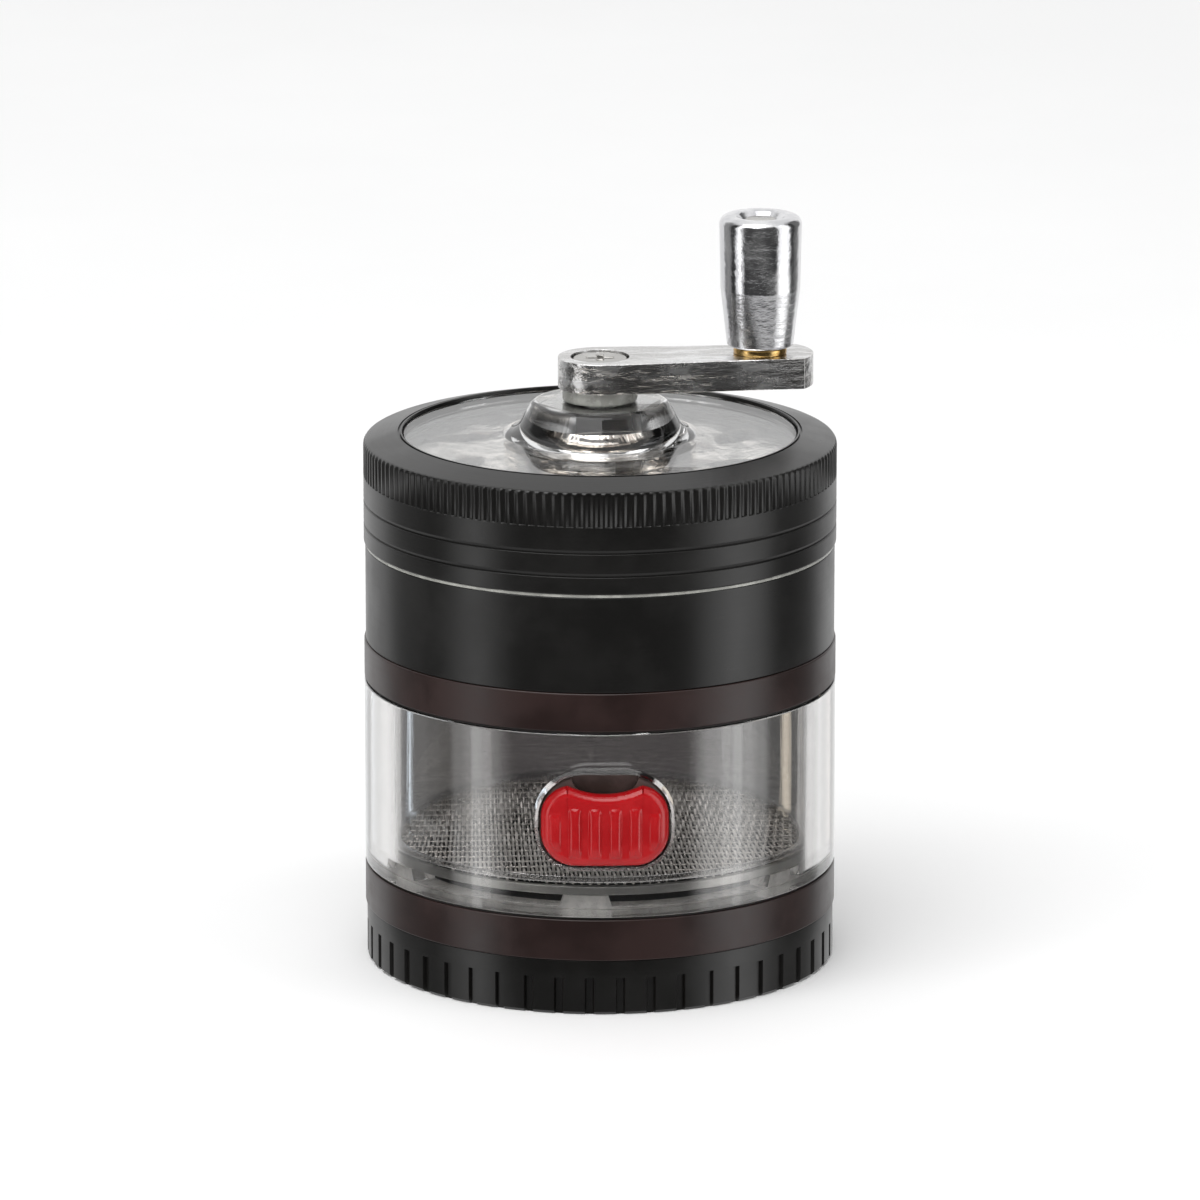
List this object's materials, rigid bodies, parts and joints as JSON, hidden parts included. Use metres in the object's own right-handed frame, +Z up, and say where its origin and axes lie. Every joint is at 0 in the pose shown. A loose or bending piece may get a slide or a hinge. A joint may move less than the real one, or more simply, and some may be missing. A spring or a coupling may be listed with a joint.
{
  "type": "spice mill",
  "caption": "Hand-cranked spice mill with a ribbed base cup, a clear collector with a sieve and a stoppered pouring hole, a toothed grinding chamber and a windowed lid.",
  "frame": {"origin": "middle of the base's underside, where the mill stands", "axes": "+Z up along the mill's axis; the pouring hole with its stopper faces -Y; the crank rests near +X"},
  "size_m": [0.063, 0.0648, 0.1005],
  "materials": {
    "black_anodised": "satin black anodised aluminium, turned",
    "brown_band": "satin dark red-brown with a faint grain",
    "clear_acrylic": "clear polished acrylic",
    "chrome": "polished chrome plating",
    "bare_steel": "bare stainless steel",
    "dark_steel": "dark oiled steel",
    "bare_aluminium": "bright machined aluminium",
    "brass": "turned brass",
    "red_plastic": "moulded red plastic, light gloss",
    "black_rubber": "matte black rubber",
    "white_nylon": "white nylon"
  },
  "bodies": {
    "base": {"base_cup": "black_anodised"},
    "collector": {"lower_band": "brown_band", "lower_gasket": "black_rubber", "collector_tube": "clear_acrylic", "sieve_mesh": "bare_steel", "sieve_hoop": "bare_steel", "sieve_clip": "clear_acrylic", "upper_gasket": "black_rubber", "upper_band": "brown_band"},
    "stopper": {"pour_stopper": "black_rubber", "stopper_grip": "red_plastic"},
    "chamber": {"chamber_body": "black_anodised", "lower_tooth_plate": "bare_aluminium", "centre_magnet": "bare_steel", "glide_ring": "white_nylon"},
    "lid": {"lid_ring": "black_anodised", "window_seal": "black_rubber", "lid_window": "clear_acrylic", "window_clamp_ring": "black_anodised", "hex_bearing": "dark_steel"},
    "crank": {"spindle": "bare_steel", "thrust_washer": "white_nylon", "upper_tooth_plate": "bare_aluminium", "rotor_screw": "bare_steel", "crank_spacer": "white_nylon", "crank_arm": "chrome", "crank_screw": "bare_steel", "knob_pin": "bare_steel", "knob_bush": "brass"},
    "grip_knob": {"knob": "chrome"}
  },
  "joints": [
    {"name": "collector_lift", "type": "slide", "parent": "base", "child": "collector", "axis": [0, 0, 1], "range_m": [0, 0.03]},
    {"name": "stopper_pull", "type": "slide", "parent": "collector", "child": "stopper", "axis": [0, -1, 0], "range_m": [0, 0.025]},
    {"name": "chamber_lift", "type": "slide", "parent": "collector", "child": "chamber", "axis": [0, 0, 1], "range_m": [0, 0.03]},
    {"name": "lid_lift", "type": "slide", "parent": "chamber", "child": "lid", "axis": [0, 0, 1], "range_m": [0, 0.04]},
    {"name": "crank_turn", "type": "hinge", "parent": "lid", "child": "crank", "pos_m": [0, 0, 0.0785], "axis": [0, 0, 1], "continuous": true},
    {"name": "knob_turn", "type": "hinge", "parent": "crank", "child": "grip_knob", "pos_m": [0.02132, 0.00187, 0.0915], "axis": [0, 0, 1], "continuous": true}
  ]
}
